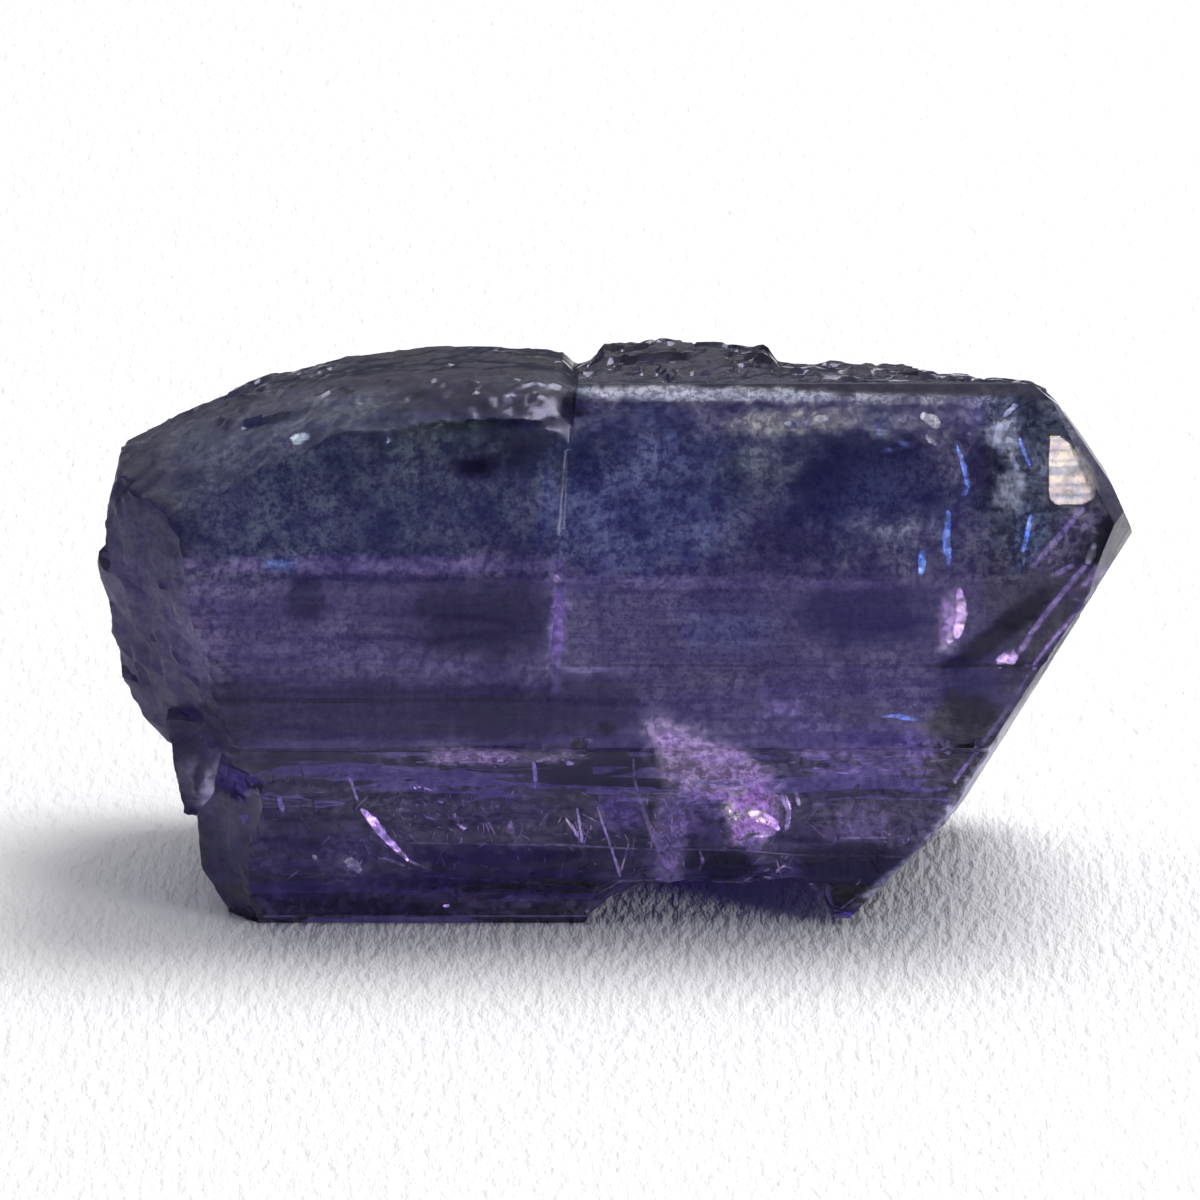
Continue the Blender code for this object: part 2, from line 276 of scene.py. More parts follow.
# Each crack: its depth in millimetres, what it mirrors, and its run in the photograph as
# (pixel x, pixel y, half width in pixels)
CRACKS = {
    "lilac": (
        (0.20, GROUND, ((408, 860, 2), (428, 869, 1.5))),
        (0.20, GROUND, ((379, 857, 1.5), (392, 861, 2.5), (407, 866, 1.5))),
        (0.20, GROUND, ((706, 786, 3), (722, 787, 4), (746, 788, 3))),
        (0.20, GROUND, ((780, 792, 3), (789, 812, 4), (786, 832, 3))),
        (0.20, GROUND, ((795, 789, 3), (800, 808, 3))),
        (0.20, GROUND, ((724, 806, 2), (731, 812, 4), (737, 822, 3))),
        (0.15, GROUND, ((939, 740, 4), (946, 748, 7), (951, 756, 3))),
        (0.20, GROUND, ((564, 763, 5), (575, 764, 3))),
        (0.20, GROUND, ((597, 806, 1.5), (605, 830, 2), (614, 856, 2), (621, 878, 3))),
        (0.20, GROUND, ((629, 843, 1.5), (624, 860, 1.5), (620, 875, 2))),
        (0.20, GROUND, ((565, 817, 1.5), (574, 830, 3), (583, 845, 2))),
        (0.20, GROUND, ((577, 806, 1.5), (580, 826, 2.5), (583, 846, 2))),
        (0.20, GROUND, ((770, 885, 1.5), (764, 876, 3), (760, 866, 2))),
        (0.20, GROUND, ((742, 881, 2), (753, 877, 2))),
        (0.20, GROUND, ((774, 873, 1.5), (784, 866, 2), (794, 869, 1.5))),
        (0.20, GROUND, ((699, 848, 2), (703, 862, 3), (698, 873, 2))),
    ),
    "sparks": (
        (0.12, SPARK, ((959, 588, 3), (961, 600, 6), (962, 614, 7), (959, 628, 7), (955, 640, 3))),
        (0.12, SPARK, ((954, 632, 4), (949, 644, 4))),
        (0.10, SPARK, ((360, 808, 2), (372, 820, 6), (384, 836, 5), (396, 848, 4), (410, 862, 2))),
        (0.12, SPARK, ((748, 812, 4), (760, 817, 8), (772, 822, 7), (779, 830, 3))),
        (0.12, SPARK, ((752, 837, 2), (764, 835, 4), (776, 833, 2))),
        (0.12, SPARK, ((996, 662, 4), (1004, 660, 9), (1012, 656, 9), (1020, 650, 3))),
        (0.12, SPARK, ((452, 815, 3), (460, 822, 6), (467, 830, 3))),
        (0.12, SPARK, ((412, 786, 2), (424, 789, 3), (437, 794, 2))),
        (0.12, SPARK, ((555, 574, 2), (558, 581, 4), (557, 587, 2))),
        (0.12, SPARK, ((727, 806, 1.5), (732, 813, 2.5), (737, 821, 1.5))),
        (0.12, SPARK, ((784, 794, 1.5), (790, 808, 2.5), (789, 824, 1.5))),
        (0.12, SPARK, ((442, 906, 1.5), (451, 906, 3))),
    ),
    "glints": (
        (0.12, SPARK, ((956, 444, 1.5), (961, 457, 3), (965, 470, 3.5), (968, 486, 3.5), (963, 498, 2))),
        (0.12, SPARK, ((948, 508, 2), (948, 524, 4.5), (946, 540, 5.5), (948, 554, 5), (948, 566, 2))),
        (0.12, SPARK, ((923, 549, 3), (922, 562, 6), (921, 577, 3))),
        (0.12, SPARK, ((882, 717, 1.5), (896, 716, 2.5), (908, 718, 4), (917, 720, 2))),
        (0.12, SPARK, ((1031, 514, 2), (1028, 530, 3.5), (1022, 554, 2))),
        (0.12, SPARK, ((1019, 436, 1.5), (1023, 450, 3), (1031, 468, 1.5))),
    ),
    "faint": (
        (0.20, GROUND, ((633, 757, 2), (636, 787, 3), (648, 823, 4), (662, 858, 4), (675, 874, 3))),
        (0.15, GROUND, ((593, 897, 1), (621, 881, 1.5), (680, 881, 1.5), (816, 884, 1.5))),
        (0.12, GROUND, ((408, 843, 1.2), (560, 845, 1.6), (640, 849, 1.2))),
        (0.12, GROUND, ((422, 876, 1.2), (500, 881, 1.2), (585, 887, 1.4))),
        (0.12, GROUND, ((256, 776, 1.6), (300, 777, 2), (352, 776, 1.6))),
        (0.12, GROUND, ((790, 855, 1.2), (850, 856, 1.5), (907, 857, 1.2))),
        (0.12, GROUND, ((640, 849, 1), (735, 850, 1.2), (800, 855, 1))),
        (0.12, GROUND, ((838, 838, 1.4), (870, 838, 1.8), (889, 838, 1.4))),
        (0.12, GROUND, ((700, 798, 1.5), (736, 798, 2), (771, 797, 1.5))),
    ),
    "blue": (
        (0.25, GROUND, ((262, 564, 5), (280, 564, 6), (298, 566, 5))),
        (0.20, GROUND, ((896, 441, 2), (906, 444, 4), (911, 447, 2))),
        (0.20, GROUND, ((886, 448, 3), (894, 451, 3))),
        (0.20, GROUND, ((879, 427, 5), (880, 437, 7))),
    ),
    "white": (
        (0.15, ABOVE, ((290, 442, 6), (300, 438, 8), (311, 435, 6))),
        (0.12, ABOVE, ((385, 446, 2), (391, 437, 2))),
        (0.12, ABOVE, ((505, 397, 1), (512, 394, 2.5), (518, 397, 1))),
        (0.15, ABOVE, ((920, 414, 5), (932, 420, 9), (942, 428, 5))),
        (0.15, ABOVE, ((923, 435, 3), (931, 441, 4), (938, 446, 2))),
        (0.15, ABOVE, ((784, 424, 5), (793, 424, 4))),
        (0.15, ABOVE, ((804, 424, 4), (815, 420, 6), (830, 417, 5))),
        (0.15, ABOVE, ((1009, 450, 3), (1014, 461, 4), (1020, 472, 2))),
        (0.15, ABOVE, ((967, 431, 3), (972, 435, 3))),
        (0.15, ABOVE, ((1018, 403, 4), (1010, 410, 4), (1002, 418, 2))),
        (0.20, GROUND, ((312, 854, 3), (317, 860, 3))),
        (0.20, GROUND, ((345, 857, 5), (354, 865, 9), (361, 874, 5))),
        (0.15, GROUND, ((1087, 566, 4), (1091, 555, 6), (1095, 543, 4))),
        (0.15, GROUND, ((952, 785, 3), (958, 779, 3))),
        (0.15, GROUND, ((586, 908, 3), (588, 915, 3))),
    ),
    "violet": (
        (0.20, GROUND, ((1087, 564, 4), (1066, 589, 4), (1040, 621, 4), (1018, 654, 4))),
        (0.18, GROUND, ((1106, 566, 2), (1085, 603, 2.5), (1049, 644, 2.5), (1031, 669, 2.5))),
        (0.18, GROUND, ((1031, 669, 2.5), (1015, 699, 2.5), (993, 730, 3), (953, 783, 3))),
        (0.20, GROUND, ((1084, 506, 4), (1062, 534, 5))),
        (0.20, GROUND, ((1063, 532, 5), (1046, 552, 4), (1030, 569, 3))),
        (0.20, GROUND, ((1075, 564, 3), (1064, 570, 4), (1050, 577, 3))),
        (0.20, GROUND, ((278, 794, 3), (281, 805, 4), (284, 814, 2))),
        (0.20, GROUND, ((349, 776, 2), (354, 790, 2), (358, 802, 2))),
        (0.20, GROUND, ((533, 760, 3), (535, 772, 3), (536, 784, 3))),
        (0.20, GROUND, ((510, 820, 4), (512, 836, 5))),
    ),
    "dark": (
        (0.20, GROUND, ((859, 782, 3), (850, 806, 4), (841, 831, 3))),
        (0.20, GROUND, ((889, 822, 3), (885, 839, 4))),
        (0.15, GROUND, ((313, 796, 1.5), (313, 812, 2), (313, 827, 1.5))),
        (0.15, GROUND, ((299, 765, 1.2), (304, 778, 2), (309, 791, 1.2))),
        (0.15, GROUND, ((920, 784, 4), (932, 784, 6), (943, 785, 4))),
        (0.20, GROUND, ((506, 838, 2), (512, 820, 3), (520, 818, 2))),
        (0.20, GROUND, ((1100, 572, 4), (1076, 602, 6), (1050, 634, 6), (1028, 662, 4))),
        (0.18, GROUND, ((1022, 704, 3), (1000, 738, 4), (976, 772, 4), (950, 806, 3))),
    ),
}

# Bright chip by the tip: rows of (pixel y, first pixel x, last pixel x)
CHIP = (
    (436, 1050, 1060), (445, 1050, 1071), (455, 1049, 1083), (465, 1049, 1091), (478, 1049, 1097),
    (490, 1049, 1099), (498, 1050, 1094), (504, 1055, 1082),
)
CHIP_ACROSS = 9
CHIP_DEPTH = 0.18
CHIP_CRUMPLE = 0.003
CHIP_COLOUR = (1.00, 0.88, 0.66, 1.0)
CHIP_DULL = (0.78, 0.60, 0.38, 1.0)

# Clusters of short cracks: middle and half size in pixels, how many, main turn in degrees, how far they
# turn from it, and their greatest length in pixels
CLUSTERS = {
    "lilac": (
        (580, 835, 340, 70, 110, 80, 150, 26),
        (455, 805, 60, 32, 60, 40, 120, 14),
        (385, 838, 28, 30, 26, 50, 40, 18),
        (352, 862, 14, 18, 30, 60, 160, 8),
        (578, 828, 16, 24, 18, 65, 50, 22),
        (765, 800, 34, 42, 60, 20, 90, 14),
        (720, 775, 60, 30, 70, 0, 40, 18),
        (745, 868, 50, 14, 36, -30, 90, 14),
        (665, 832, 20, 44, 30, 75, 40, 26),
        (860, 762, 80, 18, 40, 0, 12, 34),
        (870, 845, 50, 26, 26, 0, 160, 14),
        (495, 757, 90, 12, 40, 0, 14, 30),
        (800, 420, 70, 12, 40, 20, 120, 8),
        (925, 428, 24, 16, 20, 50, 120, 8),
        (1010, 440, 24, 34, 34, 60, 80, 12),
        (1035, 530, 26, 50, 40, 110, 50, 22),
    ),
    "dark": (
        (470, 815, 130, 40, 50, 80, 160, 14),
        (500, 880, 95, 22, 36, 0, 60, 22),
        (740, 855, 90, 26, 36, 20, 160, 16),
        (870, 820, 60, 50, 24, 80, 60, 22),
        (990, 480, 40, 50, 36, 60, 160, 12),
        (700, 790, 60, 40, 24, 30, 90, 12),
        (330, 850, 50, 40, 22, 30, 160, 9),
    ),
}

# What lies in the crystal near its front: a colour that tints it there, and how milky it is. The pale,
# glowing and pink veils are painted highlights and reflections.
VEILS = {
    "clear": ((1.00, 1.00, 1.00), 0.00),
    "teal": ((0.72, 0.92, 0.84), 0.05),
    "sky": ((0.46, 0.60, 1.00), 0.12),
    "navy": ((0.05, 0.11, 0.26), 0.00),
    "night": ((0.035, 0.030, 0.12), 0.00),
    "black": ((0.002, 0.002, 0.006), 0.00),
    "deep": ((0.15, 0.13, 0.42), 0.00),
    "dusk": ((0.12, 0.12, 0.16), 0.00),
    "taupe": ((0.46, 0.46, 0.32), 0.00),
    "mauve": ((0.70, 0.56, 1.00), 0.16),
    "violet": ((0.42, 0.26, 1.00), 0.19),
    # Painted glow: bright milky violet standing in for light caught inside the crystal
    "painted_glow": ((0.55, 0.38, 1.00), 0.33),
    # Painted reflection: strong milky pink where inner fractures would throw light back
    "painted_pink_flash": ((0.66, 0.34, 1.00), 0.62),
    # Painted highlight: pale milky colour where facets and edges would catch light
    "painted_highlight": ((0.74, 0.76, 1.00), 0.55),
    "cream": ((1.00, 0.90, 0.72), 0.45),
}

# Veils in the order they are laid: kind, middle and half size in pixels, turn in degrees, and strength
PATCHES = (
    ("teal", 330, 480, 240, 95, -8, 0.95),
    ("taupe", 130, 560, 50, 150, 0, 0.6),
    ("dusk", 460, 368, 130, 16, -4, 0.8),
    ("sky", 640, 500, 95, 80, -10, 0.9),
    ("navy", 600, 452, 50, 24, -30, 0.35),
    ("navy", 520, 430, 26, 50, 0, 0.45),
    ("teal", 790, 470, 70, 50, 0, 0.6),
    ("painted_highlight", 770, 463, 50, 12, 3, 0.16),
    ("cream", 800, 421, 66, 13, -3, 0.55),
    ("painted_highlight", 885, 424, 36, 12, 10, 0.25),
    ("navy", 868, 478, 72, 44, 0, 0.8),
    ("navy", 800, 535, 60, 24, 0, 0.4),
    ("sky", 900, 500, 90, 50, 0, 0.25),
    ("mauve", 985, 414, 26, 18, 0, 0.45),
    ("deep", 1012, 412, 30, 20, 0, 0.5),
    ("painted_highlight", 882, 528, 26, 16, 10, 0.18),
    ("painted_highlight", 850, 548, 12, 24, 20, 0.12),
    ("mauve", 1045, 545, 60, 34, 0, 0.35),
    # Painted reflection: pale milky strips along the front ridge where it would mirror the bright sky
    # above
    ("painted_highlight", 690, 394, 150, 7, 1, 0.7),
    ("painted_highlight", 900, 399, 120, 5, 1, 0.45),
    ("dusk", 490, 398, 90, 16, 4, 0.9),
    ("navy", 500, 412, 80, 12, 2, 0.6),
    ("teal", 250, 452, 60, 22, -26, 0.8),
    ("mauve", 206, 590, 24, 120, 4, 0.45),
    ("teal", 200, 480, 34, 50, 0, 0.6),
    ("painted_highlight", 1022, 450, 20, 34, -30, 0.45),
    ("sky", 1030, 470, 60, 80, 0, 0.6),
    ("painted_highlight", 1020, 410, 50, 12, 0, 0.2),
    ("night", 988, 474, 20, 34, -20, 0.6),
    ("painted_highlight", 1003, 434, 14, 14, 0, 0.8),
    ("painted_highlight", 1010, 490, 13, 22, 25, 0.65),
    ("sky", 1028, 538, 16, 36, 15, 0.95),
    ("mauve", 1078, 524, 26, 16, -40, 0.9),
    ("mauve", 1058, 558, 22, 9, -30, 0.6),
    ("taupe", 1118, 548, 26, 34, 30, 0.9),
    ("painted_highlight", 907, 548, 6, 52, 0, 0.12),
    ("mauve", 250, 622, 90, 40, 0, 0.35),
    ("mauve", 350, 656, 120, 14, 2, 0.55),
    ("dusk", 480, 618, 66, 38, 0, 0.9),
    ("dusk", 306, 598, 20, 26, 0, 0.8),
    ("taupe", 370, 712, 190, 28, 0, 0.95),
    ("dusk", 510, 712, 80, 26, 0, 0.85),
    ("dusk", 280, 689, 145, 4, 2, 0.5),
    # Painted highlight: a light mauve and pale band along the crease between the front faces
    ("mauve", 365, 565, 190, 10, 0, 0.98),
    ("painted_highlight", 365, 564, 190, 6, 0, 0.12),
    ("sky", 280, 564, 20, 7, 0, 0.9),
    ("taupe", 600, 706, 44, 26, 0, 0.8),
    ("black", 606, 729, 9, 7, 0, 0.9),
    ("violet", 650, 622, 80, 46, 0, 0.16),
    ("sky", 728, 626, 46, 30, 0, 0.7),
    ("deep", 728, 600, 40, 16, 0, 0.5),
    ("deep", 862, 612, 62, 34, 0, 0.95),
    ("violet", 850, 686, 100, 22, 0, 0.25),
    ("violet", 730, 712, 90, 24, 0, 0.2),
    ("violet", 860, 735, 80, 14, 0, 0.3),
    # Painted highlight: light lines down and along the step at the slab's end
    ("painted_glow", 558, 624, 8, 54, 2, 1.0),
    ("painted_glow", 558, 580, 8, 9, 0, 0.8),
    ("painted_glow", 590, 669, 50, 4, 2, 0.5),
    ("sky", 545, 516, 7, 44, 8, 0.95),
    # Painted highlight: the same light band along the crease, right of the step
    ("mauve", 730, 583, 190, 5, 1, 0.6),
    ("painted_glow", 785, 708, 18, 8, 0, 0.7),
    ("painted_glow", 922, 746, 16, 16, 0, 0.6),
    ("deep", 270, 860, 60, 50, 0, 0.6),
    ("night", 500, 872, 110, 26, 0, 0.98),
    ("deep", 340, 895, 120, 20, 0, 0.7),
    ("mauve", 348, 856, 22, 30, 30, 0.55),
    # Painted highlight: bright pink bands low on the front
    ("painted_pink_flash", 478, 757, 50, 8, 0, 0.60),
    ("painted_pink_flash", 560, 757, 20, 8, 0, 0.45),
    ("violet", 400, 820, 200, 70, 0, 0.4),
    ("violet", 850, 800, 130, 70, 0, 0.5),
    ("violet", 480, 802, 76, 26, 0, 0.35),
    ("violet", 620, 812, 24, 22, 0, 0.95),
    ("deep", 590, 775, 44, 14, 0, 0.6),
    ("deep", 640, 762, 16, 20, 30, 0.5),
    ("violet", 700, 815, 34, 26, 0, 0.8),
    # Painted reflection: the bright pink patch where light would come back off inner fractures
    ("painted_pink_flash", 664, 736, 22, 16, 40, 0.32),
    ("painted_pink_flash", 712, 768, 62, 30, 22, 0.62),
    ("painted_pink_flash", 752, 815, 24, 28, 0, 0.95),
    ("painted_glow", 752, 848, 10, 16, 0, 0.9),
    ("painted_glow", 670, 838, 17, 46, 4, 0.85),
    ("night", 724, 866, 34, 17, 0, 1.0),
    ("painted_glow", 862, 820, 28, 17, 0, 0.55),
    ("painted_glow", 870, 754, 70, 5, 0, 0.7),
    ("painted_glow", 870, 772, 70, 5, 0, 0.6),
    ("mauve", 829, 835, 6, 28, 0, 0.8),
    ("night", 850, 868, 60, 22, 0, 0.9),
    ("black", 1000, 632, 66, 12, -38, 0.95),
    ("black", 955, 661, 26, 5, -20, 0.8),
    ("painted_pink_flash", 948, 622, 9, 28, 5, 0.8),
    ("dusk", 182, 772, 22, 50, 0, 1.0),
    ("deep", 212, 850, 16, 50, -10, 0.6),
    ("deep", 972, 695, 26, 30, 0, 0.6),
    ("dusk", 475, 467, 26, 12, 0, 0.7),
    ("black", 475, 467, 17, 7, 0, 0.85),
    ("painted_highlight", 206, 796, 7, 24, 10, 0.4),
    # Painted light: a milky violet band laid over the shade along the base
    ("violet", 400, 903, 240, 13, 0, 0.55),
    ("night", 183, 856, 24, 56, 0, 0.9),
    ("painted_highlight", 1004, 738, 150, 6, -54, 0.8),
    ("painted_highlight", 893, 876, 42, 6, -39, 0.8),
)

# Optical values of the crystal: what a metre of it lets through follows from colour and density
CRYSTAL_IOR = 1.69
CLEAR_COLOUR = (0.20, 0.13, 0.50, 1.0)
CLEAR_DENSITY = 470.0

# Sky around the object: the way it is brightest, and its colours there and where the camera stands
SKY_BRIGHT_WAY = (0.20, 0.28, 0.94)
SKY_BRIGHT = (1.00, 1.00, 1.00, 1.0)
SKY_DIM = (0.08, 0.083, 0.14, 1.0)


def along(points, value):
    """Read a height from a list of (place, height) pairs, straight between the pairs."""
    for (start, low), (end, high) in zip(points, points[1:]):
        if value <= end:
            share = max(0.0, (value - start) / (end - start))
            return low + share * (high - low)
    return points[-1][1]


def ease(value, start, end):
    """Rise smoothly from 0 at start to 1 at end."""
    share = min(1.0, max(0.0, (value - start) / (end - start)))
    return share * share * (3.0 - 2.0 * share)


def plates(u, v, size_u, size_v, seed):
    """Broken cleavage plates: each has its own level and its own lean, from -1 to 1."""
    spot = Vector((u / size_u, v / size_v, seed))
    middle = noise.voronoi(spot)[1][0]
    away = spot - middle
    traits = noise.cell_vector(middle * 97.0)
    level = 2.0 * traits.x - 1.0
    return 0.62 * level + 0.5 * (traits.y - 0.5) * away.x + 0.8 * (traits.z - 0.5) * away.y


def grain(u, v, size, seed):
    """Small uneven relief, from about -1 to 1."""
    return noise.noise(Vector((u / size, v / size, seed)))


def linked(name, mesh):
    thing = bpy.data.objects.new(name, mesh)
    bpy.context.scene.collection.objects.link(thing)
    return thing


def object_from(name, points, faces):
    """Make a closed object whose faces point out."""
    mesh = bpy.data.meshes.new(name)
    mesh.from_pydata(points, [], faces)
    shape = bmesh.new()
    shape.from_mesh(mesh)
    bmesh.ops.recalc_face_normals(shape, faces=shape.faces)
    shape.to_mesh(mesh)
    shape.free()
    return linked(name, mesh)


def extruded(name, outline, place, ends):
    """Close an outline along a row of ends: place turns an outline index and an end into a point."""
    count = len(outline)
    points = [place(index, end) for end in ends for index in range(count)]
    last = (len(ends) - 1) * count
    faces = [tuple(range(count)), tuple(range(last + count - 1, last - 1, -1))]
    for start in range(0, last, count):
        for index in range(count):
            after = (index + 1) % count
            faces.append((start + index, start + after, start + count + after, start + count + index))
    return object_from(name, points, faces)


def relief_block(name, u_span, v_span, cell, level, far, place):
    """A block with one broken side: level(u, v) gives that side, and far is the flat side behind."""
    u_count = floor((u_span[1] - u_span[0]) / cell)
    v_count = floor((v_span[1] - v_span[0]) / cell)
    u_step = (u_span[1] - u_span[0]) / u_count
    v_step = (v_span[1] - v_span[0]) / v_count
    points = []
    for row in range(v_count + 1):
        for column in range(u_count + 1):
            u = u_span[0] + column * u_step
            v = v_span[0] + row * v_step
            points.append(place(u, v, level(u, v)))
    faces = []
    width = u_count + 1
    for row in range(v_count):
        for column in range(u_count):
            corner = row * width + column
            faces.append((corner, corner + 1, corner + width + 1))
            faces.append((corner, corner + width + 1, corner + width))
    rim = [column for column in range(width)]
    rim += [row * width + u_count for row in range(1, v_count + 1)]
    rim += [v_count * width + column for column in range(u_count - 1, -1, -1)]
    rim += [row * width for row in range(v_count - 1, 0, -1)]
    first = len(points)
    for index in rim:
        row, column = divmod(index, width)
        points.append(place(u_span[0] + column * u_step, v_span[0] + row * v_step, far))
    for index, corner in enumerate(rim):
        after = (index + 1) % len(rim)
        faces.append((corner, rim[after], first + after, first + index))
    faces.append(tuple(range(first, first + len(rim))))
    return object_from(name, points, faces)


def combine(body, tool, operation):
    """Join a tool to the body or cut it away, and drop the tool."""
    modifier = body.modifiers.new(tool.name, 'BOOLEAN')
    modifier.operation = operation
    modifier.solver = 'MANIFOLD'
    modifier.object = tool
    seen = body.evaluated_get(bpy.context.evaluated_depsgraph_get())
    result = bpy.data.meshes.new_from_object(seen)
    body.modifiers.clear()
    body.data = result
    bpy.data.objects.remove(tool)


def ledged_outline(corners, step):
    """Corners of the prism, with small growth ledges between them."""
    outline = []
    for index, (corner, ledges) in enumerate(corners):
        start = Vector(corner)
        end = Vector(corners[(index + 1) % len(corners)][0])
        run = end - start
        outward = Vector((-run.y, run.x)).normalized()
        outline.append(start)
        for ledge in range(ledges):
            share = (ledge + 0.75 + 0.2 * (ledge % 2)) / (ledges + 0.6)
            rise = step * (0.8 + 0.4 * ((index + ledge) % 3))
            sign = 1.0 if ledge % 2 else -1.0
            outline.append(start + run * share)
            outline.append(start + run * share + run.normalized() * 0.05 + outward * rise * sign)
    return outline


def fine_outline(outline):
    """Points closely spaced around an outline, each with its outward direction and its distance along."""
    fine = []
    travelled = 0.0
    for index, start in enumerate(outline):
        end = outline[(index + 1) % len(outline)]
        run = end - start
        outward = Vector((-run.y, run.x)).normalized()
        pitch = FRONT_PITCH if start.x < -2.0 and end.x < -2.0 else BACK_PITCH
        if start.y > 10.7 or (start.y == 0.0 and end.y == 0.0):
            pitch = 1.0
        pieces = max(1, ceil(run.length / pitch))
        for piece in range(pieces):
            share = piece / pieces
            fine.append((start + run * share, outward, travelled + share * run.length))
        travelled += run.length
    return fine


def striae(distance, x, height):
    """Relief of the fine growth striae that run along the prism faces, in millimetres."""
    broad = noise.noise(Vector((distance / 0.42, x / 3.6, 61.0)))
    fine = noise.noise(Vector((distance / 0.15, x / 1.6, 67.0)))
    hair = noise.noise(Vector((distance / 0.08, x / 0.9, 71.0)))
    strength = 1.0 + 0.5 * (1.0 - ease(height, 3.4, 4.2)) - 0.6 * ease(height, 7.3, 7.9)
    return strength * (0.010 * floor(broad * 4.0 + 0.5) + 0.007 * fine + 0.003 * hair)


def stations(start, end):
    count = ceil((end - start) / STATION_PITCH)
    return [start + (end - start) * index / count for index in range(count + 1)]


def prism():
    """The striated prism, longer than the crystal at both ends."""
    outline = fine_outline(ledged_outline(PRISM_CORNERS, LEDGE_STEP))

    def place(index, x):
        (y, z), outward, distance = outline[index]
        share = (x - PRISM_FROM) / (PRISM_TO - PRISM_FROM)
        rise = striae(distance, x, z) * ease(z, 0.4, 1.0) if z < 10.3 else 0.0
        narrower = BACK_TAPER * share if y > 0.0 else 0.0
        return (x, y - narrower + outward.x * rise, z + outward.y * rise)
    return extruded("prism", outline, place, stations(PRISM_FROM, PRISM_TO))


def slab():
    """The slab over the left half, whose free end leans with height."""
    outline = fine_outline([Vector(corner) for corner in SLAB_CORNERS])

    def place(index, x):
        (y, z), outward, distance = outline[index]
        share = (x - PRISM_FROM) / (SLAB_TO_HIGH - PRISM_FROM)
        height = (z - LEDGE_HEIGHT) / (RIDGE_Z - LEDGE_HEIGHT)
        end = SLAB_TO_LOW + height * (SLAB_TO_HIGH - SLAB_TO_LOW)
        rise = striae(distance + 20.0, x, z) if y < -2.4 else 0.0
        placed = PRISM_FROM + share * (end - PRISM_FROM)
        return (placed, y + outward.x * rise, z + outward.y * rise)
    return extruded("slab", outline, place, stations(PRISM_FROM, SLAB_TO_HIGH))


def splinter():
    """The loose-looking splinter under the slab at the broken end, broken all over."""
    def place(index, y):
        x, z = SPLINTER_CORNERS[index]
        return (x, y, z)
    body = extruded("splinter", SPLINTER_CORNERS, place, SPLINTER_Y)
    shape = bmesh.new()
    shape.from_mesh(body.data)
    bmesh.ops.triangulate(shape, faces=shape.faces)
    bmesh.ops.subdivide_edges(shape, edges=shape.edges, cuts=SPLINTER_CUTS, use_grid_fill=True)
    for vertex in shape.verts:
        spot = vertex.co / SPLINTER_GRAIN
        vertex.co += SPLINTER_RELIEF * (noise.noise_vector(spot) + 0.5 * noise.noise_vector(3.0 * spot))
    shape.to_mesh(body.data)
    shape.free()
    return body


def half_space(name, point, facing):
    """A box that fills everything beyond a plane."""
    normal = Vector(facing).normalized()
    turn = normal.to_track_quat('Z', 'Y').to_matrix().to_4x4()
    reach = CUTTER_REACH * 2.0
    corners = [(-reach, -reach), (reach, -reach), (reach, reach), (-reach, reach)]
    box = extruded(name, corners, lambda index, z: (*corners[index], z), (0.0, reach))
    box.data.transform(Matrix.Translation(point) @ turn)
    return box


def top_level(x, y):
    """Height of the broken top."""
    ridge = along(RIDGE_HEIGHT, x)
    crest = along(CREST_HEIGHT, x)
    share = (y - RIDGE_Y) / (CREST_Y - RIDGE_Y)
    if y < RIDGE_Y:
        level = ridge + 0.12 * (RIDGE_Y - y)
    elif y < CREST_Y:
        level = ridge + share * (crest - ridge)
    else:
        level = crest - TOP_BACK_SLOPE * (y - CREST_Y)
    level -= RIDGE_ROUNDING * (1.0 - ease(x, -0.92, -0.80)) * max(0.0, -y - ROUNDING_FROM) ** 2
    lump = ease(x, -0.9, -0.5) * (1.0 - ease(x, 2.9, 3.3))
    ledge = ease(x, 2.9, 3.3)
    roughness = 0.055 + 0.07 * lump + 0.05 * ledge + 0.04 * ease(-x, 4.5, 8.0)
    behind = max(ease(y, RIDGE_Y - 0.15, RIDGE_Y + 0.5), 0.8 - 0.8 * ease(x, -1.5, -0.8))
    relief = plates(x, y, 1.5, 0.62, 3.0) + 0.35 * grain(x, y, 0.55, 9.0)
    relief += 0.5 * plates(x, y, 0.55, 0.2, 4.0) + 0.25 * plates(x, y, 0.2, 0.11, 5.0)
    rim = RIM_GRAIN * (1.0 - ease(x, -1.2, -0.9)) * ease(-y, 1.2, 2.2)
    return level + roughness * behind * relief + rim * plates(x, y, 0.30, 0.20, 6.0)


def end_level(y, z):
    """X of the broken end."""
    reach = along(END_REACH, z)
    if y < END_EDGE_Y:
        reach += END_SLOPE * (END_EDGE_Y - y)
    else:
        reach += 0.07 * (y - END_EDGE_Y) + 0.10 * max(0.0, y - 2.0) ** 2
    relief = plates(y, z, 0.75, 2.1, 17.0) + 0.4 * grain(y, z, 0.6, 23.0)
    relief += 0.45 * plates(y, z, 0.24, 0.7, 18.0) + 0.2 * plates(y, z, 0.11, 0.3, 19.0)
    return reach + 0.15 * (0.6 + 0.4 * ease(z, 3.2, 3.9)) * relief - 0.03


def notch_level(x, y):
    """Height of the roof of the gap under the right half."""
    deep = ease(y, NOTCH_DEPTH_FROM, NOTCH_DEPTH_TO)
    roof = along(NOTCH_ROOF, x) * (1.0 - deep) - 0.6 * deep
    relief = plates(x, y, 0.9, 0.7, 31.0) + 0.5 * plates(x, y, 0.35, 0.25, 32.0)
    return roof + 0.07 * (1.0 - deep) * relief


